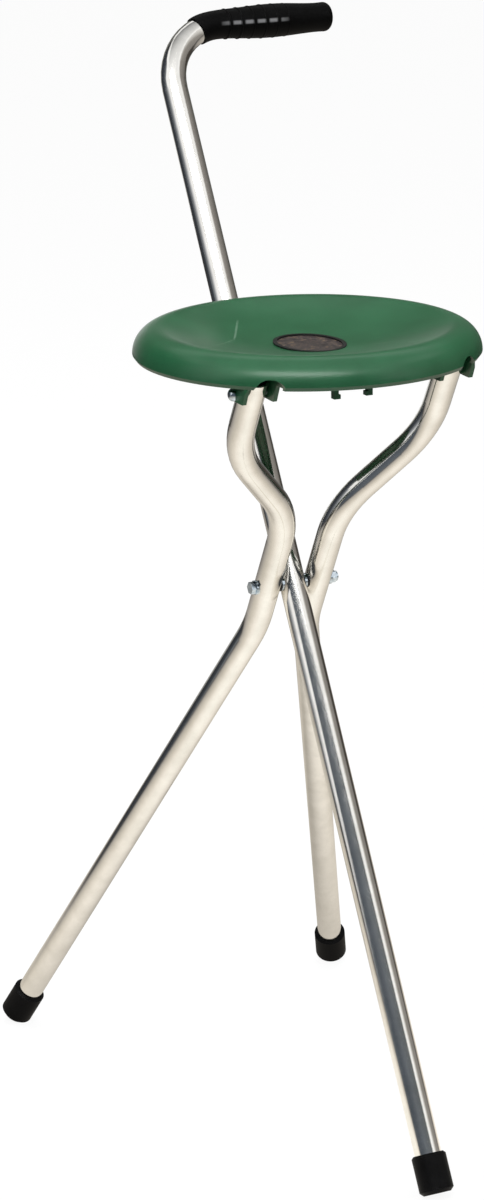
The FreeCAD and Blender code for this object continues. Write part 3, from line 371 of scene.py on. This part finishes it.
# Studio
def studio_world():
    """White to camera, glossy and transmission rays, and half as bright as a light."""
    world = bpy.data.worlds.new("studio")
    bpy.context.scene.world = world
    world.use_nodes = True
    tree = world.node_tree
    tree.nodes.clear()
    path = add(tree, "ShaderNodeLightPath")
    looked_at = calc(tree, "MAXIMUM",
                     calc(tree, "MAXIMUM", path.outputs["Is Camera Ray"],
                          path.outputs["Is Glossy Ray"]),
                     path.outputs["Is Transmission Ray"])
    seen = add(tree, "ShaderNodeBackground", [("Color", WHITE), ("Strength", 1.0)])
    lit = add(tree, "ShaderNodeBackground", [("Color", WHITE), ("Strength", AMBIENT)])
    surface = mix(tree, looked_at, lit.outputs[0], seen.outputs[0])
    add(tree, "ShaderNodeOutputWorld", [("Surface", surface)])


def floor_tone(tree):
    """What metal sees of the floor: lit ivory near the object, falling off to grey-brown."""
    place = place_of(tree)
    away = vector_calc(tree, "DISTANCE", "Value", place, FLOOR_BRIGHT_SPOT)
    lit = ramp(tree, calc(tree, "DIVIDE", away, FLOOR_TONE_REACH), FLOOR_TONES)
    shade = vector_calc(tree, "DISTANCE", "Value", place, SEAT_SHADE_SPOT)
    kept = add(tree, "ShaderNodeMapRange",
               [("Value", shade), ("From Min", SEAT_SHADE_CORE), ("From Max", SEAT_SHADE_EDGE),
                ("To Min", SEAT_SHADE_KEPT), ("To Max", 1.0)],
               interpolation_type="SMOOTHSTEP").outputs["Result"]
    return vector_calc(tree, "MULTIPLY", "Vector", lit, kept)


def floor():
    """White to the camera but for a soft contact shadow; toned in the metal's reflections."""
    half = FLOOR_SIZE / 2
    piece = panel("floor", [(-half, -half, 0), (half, -half, 0), (half, half, 0),
                            (-half, half, 0)])
    material, tree = empty_material("floor")
    path = add(tree, "ShaderNodeLightPath")
    shown = mix(tree, PAPER_SHARE, matte(tree, PAPER_GREY), glow(tree, WHITE, PAPER_GLOW))
    lit = mix(tree, path.outputs["Is Glossy Ray"], matte(tree, BOUNCE_GREY),
              glow(tree, floor_tone(tree), 1.0))
    surface = mix(tree, path.outputs["Is Camera Ray"], lit, shown)
    add(tree, "ShaderNodeOutputMaterial", [("Surface", surface)])
    piece.data.materials.append(material)


def card(name, corners, tones, strength):
    """A glowing card that only reflections see. Its tones blend between the corners.

    It goes dark for light that has met a dull surface and is dimmed in a reflection of a
    reflection, so metal throws no bright spots.
    """
    piece = panel(name, corners)
    tone = piece.data.color_attributes.new("tone", "FLOAT_COLOR", "POINT")
    for corner, colour in zip(tone.data, tones):
        corner.color = srgb(*colour)
    material, tree = empty_material(name)
    shade = add(tree, "ShaderNodeAttribute", attribute_name="tone")
    path = add(tree, "ShaderNodeLightPath")
    never_dulled = calc(tree, "LESS_THAN", path.outputs["Diffuse Depth"], 0.5)
    first_bounce = calc(tree, "LESS_THAN", path.outputs["Glossy Depth"], 1.5)
    power = calc(tree, "MULTIPLY", never_dulled,
                 spread(tree, first_bounce, SECOND_BOUNCE, strength))
    add(tree, "ShaderNodeOutputMaterial",
        [("Surface", glow(tree, shade.outputs["Color"], power))])
    piece.data.materials.append(material)
    piece.visible_camera = False
    piece.visible_diffuse = False
    piece.visible_transmission = False
    piece.visible_shadow = False


def around(bearing, distance, height):
    """A point on a circle about the origin."""
    b = math.radians(bearing)
    return (math.sin(b) * distance, math.cos(b) * distance, height)


def upright_card(name, start, end, foot, start_top, end_top, first, last, strength, distance):
    """A flat card between two bearings, its top and tone running from start to end."""
    reach = distance / math.cos(math.radians((end - start) / 2))
    corners = [around(start, reach, foot), around(end, reach, foot),
               around(end, reach, end_top), around(start, reach, start_top)]
    card(name, corners, (first, last, last, first), strength)


def ceiling():
    """A level card overhead, white over the camera's side and grey over the far side."""
    aside = Vector(around(CEILING_BEARING + 90, CEILING_WIDTH / 2, 0))
    start = Vector(around(CEILING_BEARING, CEILING_START, CEILING_HEIGHT))
    end = Vector(around(CEILING_BEARING, CEILING_END, CEILING_HEIGHT))
    first, last = CEILING_TONES
    card("ceiling", [start - aside, start + aside, end + aside, end - aside],
         (first, first, last, last), 1.0)


def lamp(name, place, width, watts):
    """An area lamp that reflections do not see."""
    data = bpy.data.lights.new(name, "AREA")
    data.size = width
    data.energy = watts
    piece = new_object(name, data)
    piece.location = place
    piece.rotation_euler = (LAMP_AIM - Vector(place)).to_track_quat("-Z", "Y").to_euler()
    piece.visible_glossy = False


def camera():
    data = bpy.data.cameras.new("camera")
    data.sensor_width = SENSOR_MM
    data.lens = LENS_MM
    data.clip_start = NEAREST_SEEN
    data.clip_end = FARTHEST_SEEN
    piece = new_object("camera", data)
    bearing = math.radians(CAMERA_BEARING)
    place = Vector((math.sin(bearing) * CAMERA_DISTANCE, -math.cos(bearing) * CAMERA_DISTANCE,
                    CAMERA_HEIGHT))
    aim = Euler((math.radians(90 - CAMERA_PITCH), 0, math.radians(CAMERA_HEADING))).to_matrix()
    turn = (aim @ Matrix.Rotation(math.radians(CAMERA_ROLL), 3, "Z")).to_4x4()
    piece.matrix_world = Matrix.Translation(place) @ turn
    bpy.context.scene.camera = piece


def studio():
    studio_world()
    floor()
    for row in UPRIGHT_CARDS:
        upright_card(*row)
    ceiling()
    for row in LAMPS:
        lamp(*row)


# Making
bpy.context.scene.view_settings.view_transform = "Standard"
camera()
studio()

give(polished_aluminium(), "stick_tube", "left_leg_tube", "right_leg_tube", "slider_stop_pin")
give(grip_rubber(), "handle_grip")
give(black_rubber("ferrule_rubber", FERRULE_GREY)[0], "stick_ferrule", "left_leg_ferrule",
     "right_leg_ferrule")
give(seat_green(), "seat_shell")
give(zinc_plate(), "pivot_bolt", "pivot_nut", "stick_saddle_washers",
     "leg_outer_saddle_washers", "left_hinge_pin", "right_hinge_pin", "hinge_pin_retainers",
     "stick_ferrule_insert", "leg_ferrule_inserts")
give(dull_plastic("dark_nylon", srgb(18, 19, 21), srgb(34, 36, 38)), "rear_slider",
     "leg_inner_saddle_washers")
give(dull_plastic("pale_nylon", srgb(170, 180, 190), srgb(205, 212, 220)), "nut_nylon_ring")
give(dull_plastic("badge_black", srgb(12, 12, 12), srgb(22, 22, 21)), "badge_ring")
give(badge_metal(), "badge_plate")
